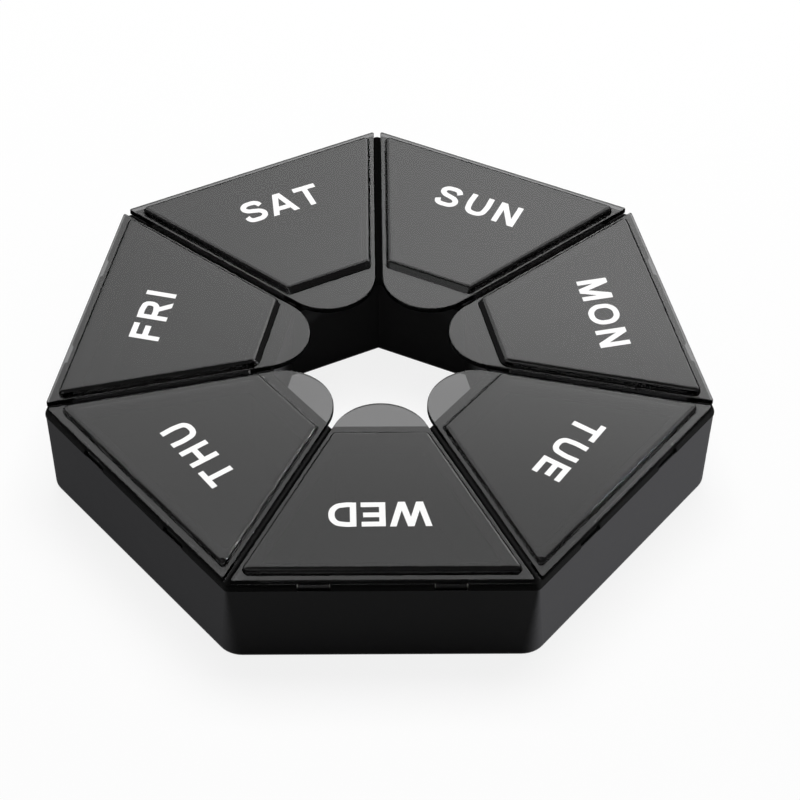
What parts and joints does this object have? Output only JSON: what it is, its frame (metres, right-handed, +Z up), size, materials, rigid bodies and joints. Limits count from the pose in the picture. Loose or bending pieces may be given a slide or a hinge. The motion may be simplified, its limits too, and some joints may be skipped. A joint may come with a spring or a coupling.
{
  "type": "travel pill case",
  "caption": "Flat seven-sided pill case with a see-through hinged lid over each day's cup and a finger hole in the middle.",
  "frame": {"origin": "Middle of the case's bounding box, on the surface that it stands on.", "axes": "+Z is up. -Y is the front, where one flat side with the Wednesday lid lies, and +Y points at the corner between the Saturday and Sunday lids. +X is to the right."},
  "size_m": [0.1124, 0.1096, 0.0196],
  "materials": {
    "tray_plastic": "smooth moulded, black",
    "lid_plastic": "polished, smoke grey and slightly see-through",
    "pin_steel": "drawn wire"
  },
  "bodies": {
    "case": {"base_tray": "tray_plastic", "hinge_pin_wednesday": "pin_steel", "hinge_pin_thursday": "pin_steel", "hinge_pin_friday": "pin_steel", "hinge_pin_saturday": "pin_steel", "hinge_pin_sunday": "pin_steel", "hinge_pin_monday": "pin_steel", "hinge_pin_tuesday": "pin_steel"},
    "wednesday_lid": {"lid_wednesday": "lid_plastic"},
    "thursday_lid": {"lid_thursday": "lid_plastic"},
    "friday_lid": {"lid_friday": "lid_plastic"},
    "saturday_lid": {"lid_saturday": "lid_plastic"},
    "sunday_lid": {"lid_sunday": "lid_plastic"},
    "monday_lid": {"lid_monday": "lid_plastic"},
    "tuesday_lid": {"lid_tuesday": "lid_plastic"}
  },
  "joints": [
    {"name": "wednesday_hinge", "type": "hinge", "parent": "case", "child": "wednesday_lid", "pos_m": [0, -0.05361, 0.016], "axis": [1, 0, 0], "range_deg": [0, 95]},
    {"name": "thursday_hinge", "type": "hinge", "parent": "case", "child": "thursday_lid", "pos_m": [-0.03973, -0.03448, 0.016], "axis": [0.6235, -0.7818, 0], "range_deg": [0, 95]},
    {"name": "friday_hinge", "type": "hinge", "parent": "case", "child": "friday_lid", "pos_m": [-0.04954, 0.00851, 0.016], "axis": [-0.2225, -0.9749, 0], "range_deg": [0, 95]},
    {"name": "saturday_hinge", "type": "hinge", "parent": "case", "child": "saturday_lid", "pos_m": [-0.02205, 0.04298, 0.016], "axis": [-0.901, -0.4339, 0], "range_deg": [0, 95]},
    {"name": "sunday_hinge", "type": "hinge", "parent": "case", "child": "sunday_lid", "pos_m": [0.02205, 0.04298, 0.016], "axis": [-0.901, 0.4339, 0], "range_deg": [0, 95]},
    {"name": "monday_hinge", "type": "hinge", "parent": "case", "child": "monday_lid", "pos_m": [0.04954, 0.00851, 0.016], "axis": [-0.2225, 0.9749, 0], "range_deg": [0, 95]},
    {"name": "tuesday_hinge", "type": "hinge", "parent": "case", "child": "tuesday_lid", "pos_m": [0.03973, -0.03448, 0.016], "axis": [0.6235, 0.7818, 0], "range_deg": [0, 95]}
  ]
}
